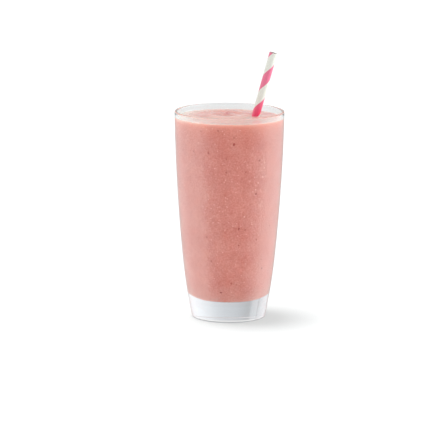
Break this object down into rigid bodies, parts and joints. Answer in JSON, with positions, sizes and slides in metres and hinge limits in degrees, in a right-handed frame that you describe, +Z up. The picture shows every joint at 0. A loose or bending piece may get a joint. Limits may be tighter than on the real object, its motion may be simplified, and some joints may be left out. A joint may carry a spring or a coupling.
{
  "type": "white chocolate smoothie",
  "caption": "Tall heavy-based glass tumbler filled nearly to the rim with thick pink smoothie, with a striped paper straw leaning in it.",
  "frame": {"origin": "on the table, under the middle of the glass's foot, on the glass's own axis", "axes": "+Z up along the glass's axis, +X towards the side that the straw leans to, -Y towards the side that the picture shows"},
  "size_m": [0.082, 0.082, 0.1997],
  "materials": {
    "clear_glass": "polished",
    "smoothie": "satin",
    "striped_paper": "matte"
  },
  "bodies": {
    "root": {"glass": "clear_glass", "smoothie": "smoothie", "straw": "striped_paper"}
  },
  "joints": []
}
